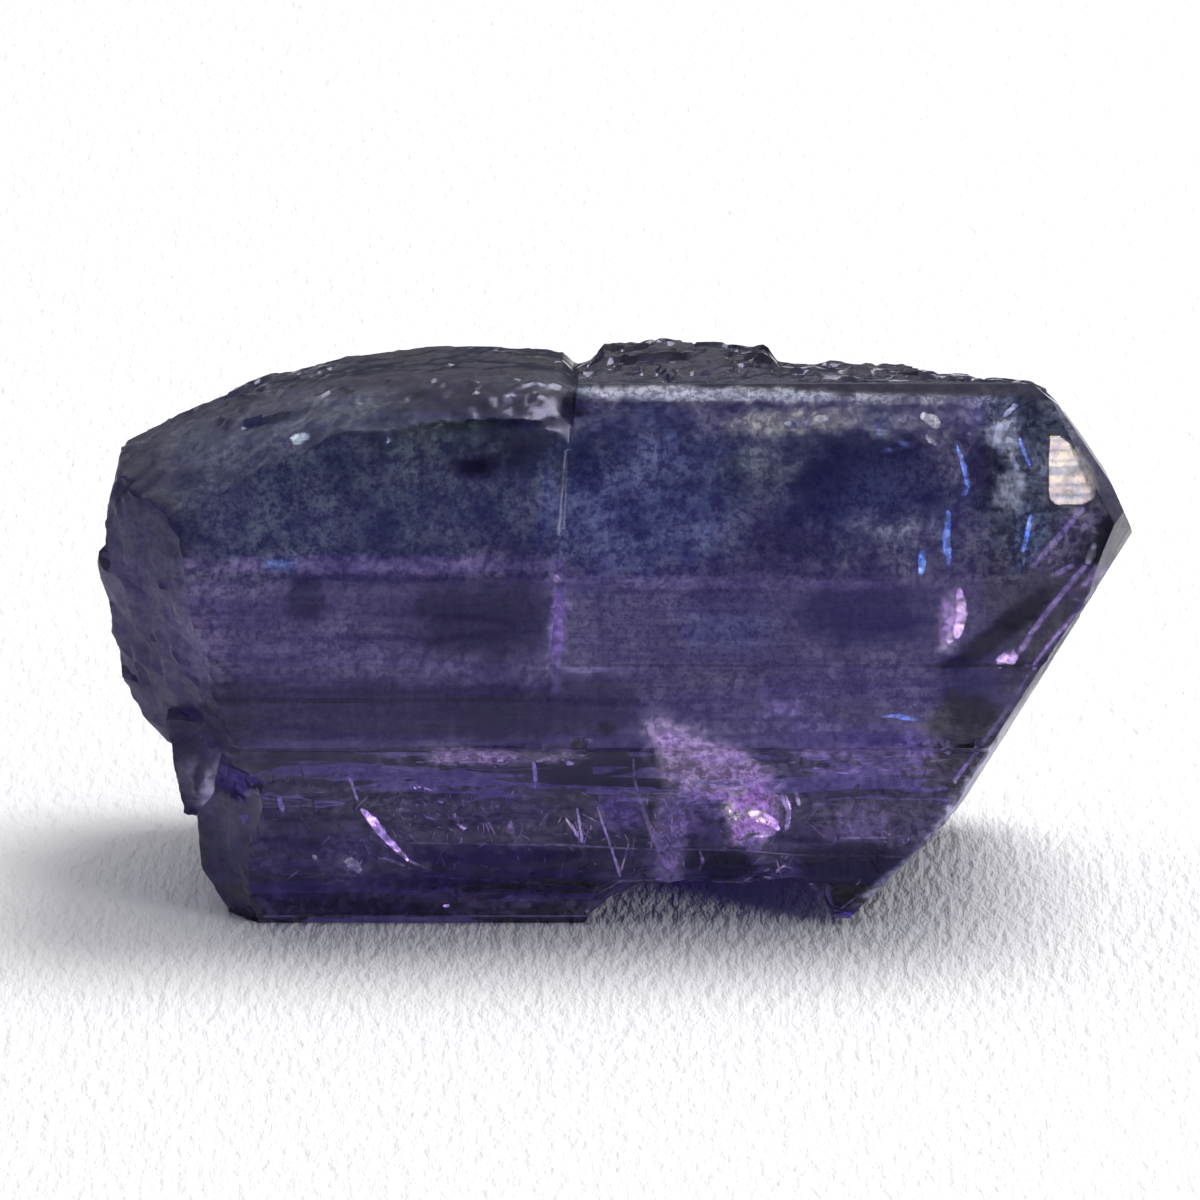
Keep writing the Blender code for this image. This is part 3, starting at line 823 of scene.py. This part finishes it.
def scar_level(x, z):
    """Y of the shell-shaped scar: a bowl with ribs around the point of the blow."""
    across = (x - SCAR_BLOW[0]) / SCAR_WIDTH
    down = SCAR_BLOW[1] - z
    reach = hypot(across, down) + 0.25 * grain(x, z, 1.6, 51.0)
    rib = sin(2.0 * pi * reach / SCAR_RIB_PITCH)
    return SCAR_FLOOR_Y + SCAR_RISE * reach ** 2 + SCAR_RIB * rib * ease(reach, 0.4, 1.6)


def under_level(across, up):
    """How far the under face of the tip stands out: long flakes, and chips along its front edge."""
    flakes = plates(across, up, 0.42, 3.4, 41.0) + 0.5 * plates(across, up, 0.16, 1.1, 42.0)
    chips = plates(across, up, 0.9, 0.7, 43.0) * ease(-across, 2.2, 3.4)
    return 0.035 * flakes + 0.045 * min(chips, 0.3) - 0.01


def under_cutter():
    """What lies beyond the under face of the tip."""
    out = Vector(UNDER_FACING).normalized()
    up = Vector((-out.z, 0.0, out.x)).normalized()
    across = up.cross(out)
    across = across if across.y > 0.0 else -across
    return relief_block("tip_under", (-5.5, 5.5), (-1.5, 12.5), UNDER_CELL, under_level, CUTTER_REACH,
                        lambda u, v, w: Vector(UNDER_POINT) + across * u + up * v + out * w)


def top_cutter():
    return relief_block("top", (-11.9, 12.1), (-5.2, 5.2), TOP_CELL, top_level, CUTTER_REACH,
                        lambda x, y, z: (x, y, z))


def end_cutter():
    return relief_block("end", (-5.3, 5.3), (-0.9, 12.3), END_CELL, end_level, -CUTTER_REACH,
                        lambda y, z, x: (x, y, z))


def notch_cutter():
    return relief_block("notch", (-1.5, 5.1), (-5.0, 1.9), NOTCH_CELL, notch_level, -3.0,
                        lambda x, y, z: (x, y, z))


def scar_cutter():
    return relief_block("scar", (-9.5, 3.1), (5.4, 12.4), SCAR_CELL, scar_level, CUTTER_REACH,
                        lambda x, z, y: (x, y, z))


def crystal():
    """Grow the finely striated prism, join what has grown on it, and break off what is missing."""
    body = prism()
    combine(body, slab(), 'UNION')
    combine(body, under_cutter(), 'DIFFERENCE')
    for name, point, facing in TIP_FACES:
        combine(body, half_space(name, point, facing), 'DIFFERENCE')
    combine(body, end_cutter(), 'DIFFERENCE')
    combine(body, splinter(), 'UNION')
    combine(body, top_cutter(), 'DIFFERENCE')
    combine(body, notch_cutter(), 'DIFFERENCE')
    combine(body, scar_cutter(), 'DIFFERENCE')
    body.name = "crystal"
    body.data.transform(Matrix.Scale(MILLIMETRE, 4))
    body.data.shade_smooth()
    body.data.set_sharp_from_angle(angle=radians(24.0))
    soften_rim(body.data)
    return body


def soften_rim(mesh):
    """The slab's upper rim is worn round: none of its edges is sharp."""
    for edge in mesh.edges:
        x, y, z = mesh.vertices[edge.vertices[0]].co / MILLIMETRE
        if x < RIM_TO and y < RIM_BACK_Y and z > RIM_FROM_Z:
            edge.use_edge_sharp = False


def new_material(name):
    material = bpy.data.materials.new(name)
    material.use_nodes = True
    return material, material.node_tree, material.node_tree.nodes["Principled BSDF"]


def node(tree, kind, **inputs):
    """Add a node and set its inputs: a socket is linked, and anything else is its plain value."""
    made = tree.nodes.new(kind)
    for name, value in inputs.items():
        socket = made.inputs[name.replace("_", " ")]
        if isinstance(value, bpy.types.NodeSocket):
            tree.links.new(value, socket)
        else:
            socket.default_value = value
    return made


def blend_colour(tree, factor, low, high, mode='MIX'):
    """Mix two colours, each a plain colour or a socket."""
    mix = tree.nodes.new("ShaderNodeMix")
    mix.data_type = 'RGBA'
    mix.blend_type = mode
    mix.clamp_result = True
    for index, value in ((0, factor), (6, low), (7, high)):
        socket = mix.inputs[index]
        if isinstance(value, bpy.types.NodeSocket):
            tree.links.new(value, socket)
        else:
            socket.default_value = value
    return mix.outputs[2]


def ranged(tree, value, from_min, from_max, to_min, to_max, smooth=True):
    """Carry a value from one range to another."""
    made = node(tree, "ShaderNodeMapRange", Value=value, From_Min=from_min, From_Max=from_max,
                To_Min=to_min, To_Max=to_max)
    made.interpolation_type = 'SMOOTHSTEP' if smooth else 'LINEAR'
    return made.outputs["Result"]


def millimetres(tree, stretch=(1.0, 1.0, 1.0)):
    """The place on the object in millimetres, shrunk along each axis by its stretch."""
    place = tree.nodes.new("ShaderNodeTexCoord")
    scale = [1.0 / (MILLIMETRE * part) for part in stretch]
    mapping = node(tree, "ShaderNodeMapping", Vector=place.outputs["Object"], Scale=scale)
    return mapping.outputs["Vector"]


def cloud(tree, stretch, detail, roughness=0.55, lacunarity=2.0):
    made = node(tree, "ShaderNodeTexNoise", Vector=millimetres(tree, stretch), Scale=1.0,
                Detail=detail, Roughness=roughness, Lacunarity=lacunarity)
    return made.outputs["Fac"]


def beyond(tree, place, point, facing, soft):
    """1 where a place lies on or beyond a plane, falling to 0 over a distance inside it."""
    normal = Vector(facing).normalized()
    made = tree.nodes.new("ShaderNodeVectorMath")
    made.operation = 'DOT_PRODUCT'
    tree.links.new(place, made.inputs[0])
    made.inputs[1].default_value = normal
    level = normal.dot(Vector(point))
    return ranged(tree, made.outputs["Value"], level - soft, level - 0.3 * soft, 0.0, 1.0)


def combined(tree, operation, first, second):
    """One number from two, each a plain number or a socket."""
    made = tree.nodes.new("ShaderNodeMath")
    made.operation = operation
    for socket, value in zip(made.inputs, (first, second)):
        if isinstance(value, bpy.types.NodeSocket):
            tree.links.new(value, socket)
        else:
            socket.default_value = value
    return made.outputs[0]


def attribute(tree, name):
    made = tree.nodes.new("ShaderNodeAttribute")
    made.attribute_name = name
    return made.outputs["Color" if name == "tint" else "Fac"]


def crystal_material():
    """Clear crystal that takes most of the light on its way through: grey blue above, violet below."""
    material, tree, shader = new_material("tanzanite")
    place = millimetres(tree)
    parts = node(tree, "ShaderNodeSeparateXYZ", Vector=place)
    height = parts.outputs["Z"]
    capped = ranged(tree, height, 7.2, 7.9, 0.0, 1.0)
    streaks = cloud(tree, (4.0, 0.5, 0.24), 3.0)
    columns = cloud(tree, (0.5, 0.8, 2.2), 3.0)
    clouds = cloud(tree, (0.95, 0.9, 0.7), 5.0, roughness=0.68)
    sparkle = cloud(tree, (0.15, 0.15, 0.15), 4.0, roughness=0.75)
    haze = attribute(tree, "haze")
    violet = blend_colour(tree, ranged(tree, streaks, 0.36, 0.62, 0.0, 1.0),
                          (0.58, 0.50, 0.74, 1.0), (1.0, 0.94, 1.0, 1.0))
    blue = blend_colour(tree, ranged(tree, clouds, 0.34, 0.62, 0.0, 1.0),
                        (0.34, 0.42, 0.48, 1.0), (1.0, 1.0, 1.0, 1.0))
    colour = blend_colour(tree, capped, violet, blue)
    colour = blend_colour(tree, ranged(tree, columns, 0.38, 0.60, 0.40, 0.0), colour,
                          (0.20, 0.18, 0.36, 1.0))
    colour = blend_colour(tree, ranged(tree, sparkle, 0.36, 0.60, 0.62, 0.0), colour,
                          (0.14, 0.13, 0.30, 1.0))
    calm = ranged(tree, haze, 0.05, 0.45, 0.0, 0.75)
    colour = blend_colour(tree, calm, colour, (1.0, 1.0, 1.0, 1.0))
    colour = blend_colour(tree, 1.0, colour, attribute(tree, "tint"), 'MULTIPLY')
    tip = beyond(tree, place, UNDER_POINT, UNDER_FACING, 0.12)
    tree.links.new(colour, shader.inputs["Base Color"])
    etched = ranged(tree, height, 3.9, 4.3, 0.06, 0.32)
    facing_top = beyond(tree, place, (0.0, 0.0, 10.05), (0.0, 0.12, 1.0), 0.5)
    end = beyond(tree, place, (-8.2, 0.0, 0.0), (-1.0, 0.0, 0.0), 1.0)
    etched = blend_colour(tree, end, etched, (0.45, 0.45, 0.45, 1.0))
    slab_side = beyond(tree, place, (-1.2, 0.0, 0.0), (-1.0, 0.0, 0.0), 0.4)
    broken = blend_colour(tree, slab_side, (0.12, 0.12, 0.12, 1.0), (0.20, 0.20, 0.20, 1.0))
    top_rough = blend_colour(tree, facing_top, etched, broken)
    tree.links.new(blend_colour(tree, tip, top_rough, (0.35, 0.35, 0.35, 1.0)), shader.inputs["Roughness"])
    shader.inputs["IOR"].default_value = CRYSTAL_IOR
    veiled = ranged(tree, clouds, 0.38, 0.66, 0.6, 1.3, smooth=False)
    sparkling = ranged(tree, sparkle, 0.38, 0.64, 0.50, 1.55)
    milky = combined(tree, 'MULTIPLY', haze, combined(tree, 'MULTIPLY', veiled, sparkling))
    tree.links.new(combined(tree, 'SUBTRACT', 0.98, milky), shader.inputs["Transmission Weight"])
    shader.inputs["Specular Tint"].default_value = (0.35, 0.33, 0.50, 1.0)
    volume = node(tree, "ShaderNodeVolumeAbsorption", Color=CLEAR_COLOUR, Density=CLEAR_DENSITY)
    output = tree.nodes["Material Output"]
    tree.links.new(volume.outputs["Volume"], output.inputs["Volume"])
    return material


def paper():
    """White paper under the crystal, with a fine pressed grain."""
    points = [(x, y, 0.0) for x, y in ((-0.4, -0.4), (0.4, -0.4), (0.4, 0.4), (-0.4, 0.4))]
    mesh = bpy.data.meshes.new("paper")
    mesh.from_pydata(points, [], [(0, 1, 2, 3)])
    floor_piece = linked("paper", mesh)
    floor_piece.location = (0.0, 0.0, cad_box[0][2])
    material, tree, shader = new_material("paper")
    shader.inputs["Base Color"].default_value = (0.88, 0.88, 0.88, 1.0)
    shader.inputs["Roughness"].default_value = 0.9
    grain_height = cloud(tree, (0.22, 0.75, 1.0), 3.0)
    bump = node(tree, "ShaderNodeBump", Height=grain_height, Strength=1.0, Distance=0.00012)
    tree.links.new(bump.outputs["Normal"], shader.inputs["Normal"])
    mesh.materials.append(material)
    return floor_piece


def light(name, place, target, side, power):
    data = bpy.data.lights.new(name, 'AREA')
    data.shape = 'DISK'
    data.size = side * MILLIMETRE
    data.energy = power
    lamp = bpy.data.objects.new(name, data)
    bpy.context.scene.collection.objects.link(lamp)
    lamp.location = Vector(place) * MILLIMETRE
    lamp.rotation_euler = (Vector(target) - Vector(place)).to_track_quat('-Z', 'Y').to_euler()
    return lamp


def sky():
    """Soft light from above and behind, dimmer and bluer where the camera stands."""
    world = bpy.data.worlds.new("sky")
    bpy.context.scene.world = world
    world.use_nodes = True
    tree = world.node_tree
    background = tree.nodes["Background"]
    place = tree.nodes.new("ShaderNodeTexCoord")
    facing = tree.nodes.new("ShaderNodeVectorMath")
    facing.operation = 'DOT_PRODUCT'
    tree.links.new(place.outputs["Generated"], facing.inputs[0])
    facing.inputs[1].default_value = SKY_BRIGHT_WAY
    bright = ranged(tree, facing.outputs["Value"], 0.35, 0.98, 0.0, 1.0)
    colour = blend_colour(tree, bright, SKY_DIM, SKY_BRIGHT)
    tree.links.new(colour, background.inputs["Color"])


def picture_frame():
    """Where the camera stands, the point it looks at, and the picture's up direction, in millimetres."""
    x = (PICTURE_SIDE / 2 - MIDDLE_PIXEL_X) * MM_PER_PIXEL
    rise = (BASE_PIXEL_Y - PICTURE_SIDE / 2) * MM_PER_PIXEL
    z = (rise + FRONT_BASE_Y * sin(CAMERA_ELEVATION)) / cos(CAMERA_ELEVATION)
    target = Vector((x, 0.0, z))
    away = Vector((0.0, -cos(CAMERA_ELEVATION), sin(CAMERA_ELEVATION)))
    up = Vector((0.0, sin(CAMERA_ELEVATION), cos(CAMERA_ELEVATION)))
    return target + away * CAMERA_DISTANCE, target, up


def camera():
    """The photograph's view: square on to the front faces, looking down on them a little."""
    place, target, _ = picture_frame()
    data = bpy.data.cameras.new("camera")
    data.sensor_width = SENSOR_WIDTH
    data.lens = SENSOR_WIDTH * CAMERA_DISTANCE / (PICTURE_SIDE * MM_PER_PIXEL)
    data.clip_start = 0.01
    thing = bpy.data.objects.new("camera", data)
    bpy.context.scene.collection.objects.link(thing)
    thing.location = place * MILLIMETRE
    thing.rotation_euler = (target - place).to_track_quat('-Z', 'Y').to_euler()
    bpy.context.scene.camera = thing


def picture_ray(pixel_x, pixel_y):
    """Start and direction of the sight line through a pixel of the photograph, in millimetres."""
    place, target, up = picture_frame()
    spot = target + Vector((1.0, 0.0, 0.0)) * (pixel_x - PICTURE_SIDE / 2) * MM_PER_PIXEL
    spot += up * (PICTURE_SIDE / 2 - pixel_y) * MM_PER_PIXEL
    return place, (spot - place).normalized()


def bent(ray, normal):
    """The ray's direction inside the crystal."""
    ratio = 1.0 / CRYSTAL_IOR
    cosine = -ray.dot(normal)
    return ratio * ray + (ratio * cosine - sqrt(1.0 - ratio ** 2 * (1.0 - cosine ** 2))) * normal


def sight(skin, pixel_x, pixel_y):
    """Where the sight line through a pixel meets the crystal, and its direction from there on."""
    place, ray = picture_ray(pixel_x, pixel_y)
    spot, normal, _, _ = skin.ray_cast(place, ray)
    if spot is None:
        return None
    return spot, bent(ray, normal)


def crystal_skin(body):
    """The crystal's surface in millimetres, for finding where a sight line meets it."""
    points = [vertex.co / MILLIMETRE for vertex in body.data.vertices]
    faces = [tuple(face.vertices) for face in body.data.polygons]
    return BVHTree.FromPolygons(points, faces)


def mirror_facing(skin, pixel_x, pixel_y, mirrors):
    """The way a crack faces to show, along a pixel's sight line, what lies in a direction outside."""
    place, ray = picture_ray(pixel_x, pixel_y)
    spot, normal, _, _ = skin.ray_cast(place, ray)
    return (-bent(ray, normal) - bent(-Vector(mirrors).normalized(), normal)).normalized()


def picture_pixel(place):
    """The pixel of the photograph that shows a place given in millimetres."""
    start, target, up = picture_frame()
    ahead = (target - start).normalized()
    way = place - start
    way *= CAMERA_DISTANCE / way.dot(ahead)
    return (PICTURE_SIDE / 2 + (way.x - target.x + start.x) / MM_PER_PIXEL,
            PICTURE_SIDE / 2 - way.dot(up) / MM_PER_PIXEL)


def veil_strength(pixel_x, pixel_y, patch):
    """How strongly a patch covers a pixel: full inside it, and fading with a ragged edge around it."""
    _, x, y, half_x, half_y, turn, strength = patch
    across = pixel_x - x
    down = pixel_y - y
    if abs(across) + abs(down) > 2.2 * (half_x + half_y):
        return 0.0
    angle = radians(turn)
    u = (across * cos(angle) + down * sin(angle)) / half_x
    v = (down * cos(angle) - across * sin(angle)) / half_y
    reach = (abs(u) ** 2.6 + abs(v) ** 2.6) ** (1.0 / 2.6)
    reach += 0.30 * noise.noise(Vector((pixel_x / 22.0, pixel_y / 22.0, x)))
    reach += 0.25 * noise.noise(Vector((pixel_x / 8.0, pixel_y / 8.0, y)))
    return strength * (1.0 - ease(reach, 0.65, 1.35))


def lay_veils(body, strokes):
    """Colour the crystal's front with its veils, and over the bright cracks lift its colour above one and
    cut its milk, a painted brightening of their glints.
    """
    clear = set()
    for _, _, points in strokes:
        for (x0, y0, half0), (x1, y1, half1) in zip(points, points[1:]):
            steps = max(2, ceil(hypot(x1 - x0, y1 - y0) / 2.0))
            for step in range(steps + 1):
                share = step / steps
                clear.add((round((x0 + share * (x1 - x0)) / 5.0), round((y0 + share * (y1 - y0)) / 5.0)))
    mesh = body.data
    mesh.attributes.new("tint", 'FLOAT_COLOR', 'POINT')
    mesh.attributes.new("haze", 'FLOAT', 'POINT')
    tint = mesh.attributes["tint"].data
    haze = mesh.attributes["haze"].data
    seen = Vector((0.0, -cos(CAMERA_ELEVATION), sin(CAMERA_ELEVATION)))
    for vertex in mesh.vertices:
        place = vertex.co / MILLIMETRE
        colour = Vector((0.9, 0.9, 0.9))
        milk = (0.05 + 0.02 * ease(place.z, 7.4, 8.0)) * ease(place.z, 3.9, 4.3)
        milk *= 1.0 - ease(vertex.normal.z, 0.4, 0.7)
        facing = ease(vertex.normal.dot(seen), -0.03, 0.10)
        if facing > 0.0:
            x, y = picture_pixel(place)
            front = colour.copy()
            for patch in PATCHES:
                strength = veil_strength(x, y, patch)
                if strength > 0.0:
                    kind, cloudy = VEILS[patch[0]]
                    front += strength * (Vector(kind) - front)
                    milk += facing * strength * (cloudy - milk)
            # Painted highlight: over the bright cracks the colour goes above one and the milk is cut
            if (round(x / 5.0), round(y / 5.0)) in clear:
                front += 0.7 * (Vector((1.6, 1.6, 1.9)) - front)
                milk *= 0.3
            colour += facing * (front - colour)
        tint[vertex.index].color = (*colour, 1.0)
        haze[vertex.index].value = milk


def stroke(shape, skin, depth, mirrors, points):
    """Add one crack to shape: a crumpled ribbon under the surface along a crack's points."""
    fade = shape.verts.layers.float["fade"]
    first = sight(skin, points[0][0], points[0][1])
    if first is None:
        return
    normal = mirror_facing(skin, points[0][0], points[0][1], mirrors)
    anchor = first[0] + first[1] * depth
    least = depth
    for x, y, _ in points:
        place, ray = sight(skin, x, y) or first
        least = min(least, (anchor - place).dot(normal) / ray.dot(normal))
    anchor += first[1] * min(max(0.0, STROKE_CLEAR - least), STROKE_SINK)
    rows = []
    for (x0, y0, half0), (x1, y1, half1) in zip(points, points[1:]):
        run = Vector((x1 - x0, y1 - y0))
        aside = Vector((-run.y, run.x)).normalized()
        steps = max(2, ceil(run.length / STROKE_PITCH))
        for step in range(steps + (1 if (x1, y1, half1) == points[-1] else 0)):
            share = step / steps
            middle = Vector((x0, y0)) + run * share
            half = half0 + share * (half1 - half0)
            rows.append([middle + aside * half * side for side in STROKE_SIDES])
    grid = [[stroke_vertex(shape, skin, spot, anchor, normal) for spot in row] for row in rows]
    for index, row in enumerate(grid):
        end = min(1.0, 0.3 + min(index, len(grid) - 1 - index) / 3.0)
        for side, vertex in zip(STROKE_SIDES, row):
            if vertex:
                vertex[fade] = end * (1.0 - side * side)
    add_faces(shape, grid)


def add_faces(shape, grid):
    for row, after in zip(grid, grid[1:]):
        for index in range(len(row) - 1):
            corners = (row[index], row[index + 1], after[index + 1], after[index])
            if all(corners):
                shape.faces.new(corners)


def stroke_vertex(shape, skin, spot, anchor, normal, crumple=STROKE_RIPPLE):
    found = sight(skin, spot.x, spot.y)
    if found is None:
        return None
    place, ray = found
    depth = (anchor - place).dot(normal) / ray.dot(normal)
    ripple = crumple * noise.noise(Vector((spot.x / 7.0, spot.y / 7.0, anchor.z)))
    return shape.verts.new(place + ray * (max(depth, STROKE_LEAST) + ripple + crumple))


def cluster(x, y, half_x, half_y, count, turn, spread, reach):
    """Short straight cracks scattered over a patch of the picture, closest in its middle."""
    lines = []
    for index in range(count):
        traits = noise.cell_vector(Vector((index * 3.0 + 0.5, x + 7.5, y + 2.5)))
        more = noise.cell_vector(Vector((index * 3.0 + 0.5, x + 31.5, y + 9.5)))
        start_x = x + half_x * (traits.x + more.x - 1.0)
        start_y = y + half_y * (traits.y + more.y - 1.0)
        angle = radians(turn + spread * (traits.z - 0.5))
        length = reach * (0.2 + 0.8 * more.z ** 2)
        half = 0.8 + 1.2 * more.y ** 3
        mirrors = (0.5 * (traits.x - 0.5), -0.9, 1.1 * more.z - 0.75)
        end = (start_x + length * cos(angle), start_y + length * sin(angle), 0.6 * half)
        lines.append((0.10 + 0.2 * more.x, mirrors, ((start_x, start_y, half), end)))
    return lines


def crack_material(name, colour, roughness, metallic, ragged, solid):
    """A crack that mirrors light, unevenly bright along it, and breaking up towards its edges."""
    material, tree, shader = new_material(name)
    patches = ranged(tree, cloud(tree, (0.12, 0.12, 0.12), 3.0), 0.35, 0.65, 0.0, 1.0)
    dim = tuple(0.45 * part for part in colour[:3]) + (1.0,)
    tree.links.new(blend_colour(tree, patches, dim, colour), shader.inputs["Base Color"])
    shader.inputs["Roughness"].default_value = roughness
    shader.inputs["Metallic"].default_value = metallic
    grains = combined(tree, 'MULTIPLY', cloud(tree, (0.10, 0.10, 0.10), 3.0), ragged)
    cover = combined(tree, 'ADD', attribute(tree, "fade"), grains)
    edge = solid + 0.5 * ragged
    tree.links.new(ranged(tree, cover, edge - 0.12, edge + 0.16, 0.0, 1.0), shader.inputs["Alpha"])
    return material


def inner_piece(name, shape, material):
    """Turn a bmesh in millimetres into a piece of the crystal."""
    mesh = bpy.data.meshes.new(name)
    shape.to_mesh(mesh)
    shape.free()
    mesh.transform(Matrix.Scale(MILLIMETRE, 4))
    mesh.shade_smooth()
    mesh.materials.append(material)
    piece = linked(name, mesh)
    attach(piece, "root")
    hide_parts(CRYSTAL_NODE)


def crack_piece(name, look, skin, strokes):
    """One piece of all the cracks that share a look."""
    shape = bmesh.new()
    shape.verts.layers.float.new("fade")
    for depth, mirrors, points in strokes:
        stroke(shape, skin, depth, mirrors, points)
    inner_piece(name, shape, crack_material(name, *look))


def chip_material():
    """A bright chip with dull brownish grains."""
    material, tree, shader = new_material("chip")
    grains = ranged(tree, cloud(tree, (0.16, 0.16, 0.16), 4.0, roughness=0.7), 0.36, 0.56, 0.0, 1.0)
    tree.links.new(blend_colour(tree, grains, CHIP_DULL, CHIP_COLOUR), shader.inputs["Base Color"])
    shader.inputs["Roughness"].default_value = 0.34
    shader.inputs["Metallic"].default_value = 1.0
    return material


def chip(skin):
    """The flat bright chip just under the upper face, by the tip."""
    shape = bmesh.new()
    middle_y, left, right = CHIP[len(CHIP) // 2]
    place, ray = sight(skin, (left + right) / 2, middle_y)
    normal = mirror_facing(skin, (left + right) / 2, middle_y, SPARK)
    anchor = place + ray * CHIP_DEPTH
    grid = []
    for y, first, last in CHIP:
        row = []
        for index in range(CHIP_ACROSS):
            jag = 1.5 * noise.noise(Vector((index * 1.7, y / 6.0, 3.0))) if index else 0.0
            spot = Vector((first + (last - first) * index / (CHIP_ACROSS - 1) + jag, y + jag))
            row.append(stroke_vertex(shape, skin, spot, anchor, normal, CHIP_CRUMPLE))
        grid.append(row)
    add_faces(shape, grid)
    inner_piece("chip", shape, chip_material())


body = crystal()
skin = crystal_skin(body)
bright = [stroke for kind in BRIGHT_CRACKS for stroke in CRACKS[kind]]
lay_veils(body, bright + [(0.0, GROUND, ((left, y, 1), (right, y, 1))) for y, left, right in CHIP])
body.data.materials.clear()
body.data.materials.append(crystal_material())
print("crystal triangles", sum(len(face.vertices) - 2 for face in body.data.polygons))
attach(body, "root")
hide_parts(CRYSTAL_NODE)
for kind, strokes in CRACKS.items():
    crack_piece("cracks_" + kind, CRACK_LOOKS[kind], skin, strokes)
for kind, clusters in CLUSTERS.items():
    lines = [line for values in clusters for line in cluster(*values)]
    crack_piece("hairlines_" + kind, CRACK_LOOKS[kind], skin, lines)
chip(skin)
paper()
camera()
sky()
light("lamp", (74.0, 60.0, 224.0), (0.0, 0.0, 4.0), 130.0, 0.38)
light("window", (190.0, 40.0, 130.0), (0.0, 0.0, 3.0), 200.0, 0.05)
light("fill", (-120.0, 90.0, 170.0), (0.0, 0.0, 3.0), 120.0, 0.05)
light("spark", (230.0, -164.0, 57.0), (0.0, 0.0, 5.0), 90.0, 0.34)
bpy.context.scene.view_settings.view_transform = 'Standard'
